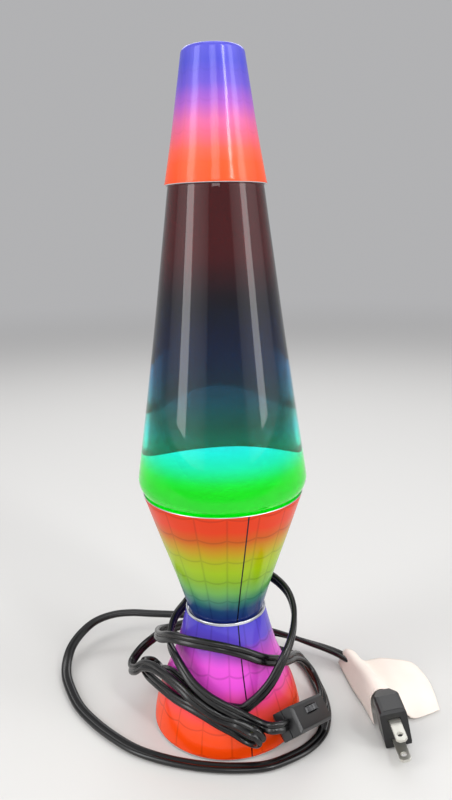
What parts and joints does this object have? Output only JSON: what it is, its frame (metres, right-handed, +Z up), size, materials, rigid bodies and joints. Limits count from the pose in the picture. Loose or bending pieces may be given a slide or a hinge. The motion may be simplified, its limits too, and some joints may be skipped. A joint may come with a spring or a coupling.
{
  "type": "liquid motion lamp",
  "caption": "Liquid motion lamp: two-cone spun metal base, tapered glass globe of liquid and wax that lifts out, loose metal cap, bulb in its socket, flat cord with inline wheel switch and plug.",
  "frame": {"origin": "on the lamp's axis, on the surface that its rubber feet stand on", "axes": "+Z up along the lamp's axis; -Y towards the front, where the cord lies in its bundle; +X towards the plug"},
  "size_m": [0.2356, 0.1417, 0.3677],
  "materials": {
    "foot_wrap": "spun aluminium under a glossy printed wrap, violet above to orange-red below",
    "cup_wrap": "spun aluminium under a glossy printed wrap, orange above through green to blue",
    "cap_wrap": "spun aluminium under a glossy printed wrap, violet above to orange-red below",
    "steel": "plain bright steel",
    "brass": "plain sheet brass",
    "porcelain": "glazed off-white ceramic",
    "rubber": "matt black",
    "black_plastic": "satin black moulding",
    "cord_pvc": "satin black jacket of a flat twin cord",
    "clear_glass": "clear gloss",
    "liquid": "dark tinted clear liquid",
    "wax": "soft bright wax",
    "paper": "plain cream card"
  },
  "bodies": {
    "base": {"lower_cone": "foot_wrap", "upper_cone": "cup_wrap", "socket_holder": "steel", "waist_rivet_1": "steel", "waist_rivet_2": "steel", "waist_rivet_3": "steel", "socket_body": "porcelain", "socket_screw_shell": "brass", "socket_centre_contact": "brass", "socket_terminal_1": "brass", "socket_terminal_2": "brass", "socket_lead_1": "cord_pvc", "socket_lead_2": "cord_pvc", "bottom_cover": "black_plastic", "cover_screw_1": "steel", "cover_screw_2": "steel", "cover_screw_3": "steel", "rubber_foot_1": "rubber", "rubber_foot_2": "rubber", "rubber_foot_3": "rubber", "rubber_foot_4": "rubber", "cord_bushing": "black_plastic", "cord_lamp_to_switch": "cord_pvc", "cord_switch_to_plug": "cord_pvc", "switch_upper_shell": "black_plastic", "switch_lower_shell": "black_plastic", "switch_screw_1": "steel", "switch_screw_2": "steel", "switch_contact_1": "brass", "switch_contact_2": "brass", "plug_body": "black_plastic", "plug_blade_1": "brass", "plug_blade_2": "brass", "cord_tag": "paper"},
    "bulb": {"bulb_glass": "clear_glass", "bulb_screw_base": "brass", "bulb_insulator": "black_plastic", "bulb_tip_contact": "brass", "bulb_stem": "clear_glass", "bulb_filament": "steel"},
    "globe": {"globe_glass": "clear_glass", "liquid": "liquid", "wax": "wax", "warming_spring": "steel", "crown_seal": "steel", "crown_liner": "paper"},
    "cap": {"cap_shell": "cap_wrap"},
    "switch_wheel": {"switch_wheel": "black_plastic"}
  },
  "joints": [
    {"name": "globe_lift", "type": "slide", "parent": "base", "child": "globe", "axis": [0, 0, 1], "range_m": [0, 0.06]},
    {"name": "cap_lift", "type": "slide", "parent": "globe", "child": "cap", "axis": [0, 0, 1], "range_m": [0, 0.06]},
    {"name": "bulb_turn", "type": "hinge", "parent": "base", "child": "bulb", "pos_m": [0, 0, 0.056], "axis": [0, 0, 1], "range_deg": [0, 1260]},
    {"name": "switch_wheel_turn", "type": "hinge", "parent": "base", "child": "switch_wheel", "pos_m": [0.04251, -0.03089, 0.02096], "axis": [-0.3942, 0.6005, 0.6957], "continuous": true}
  ]
}
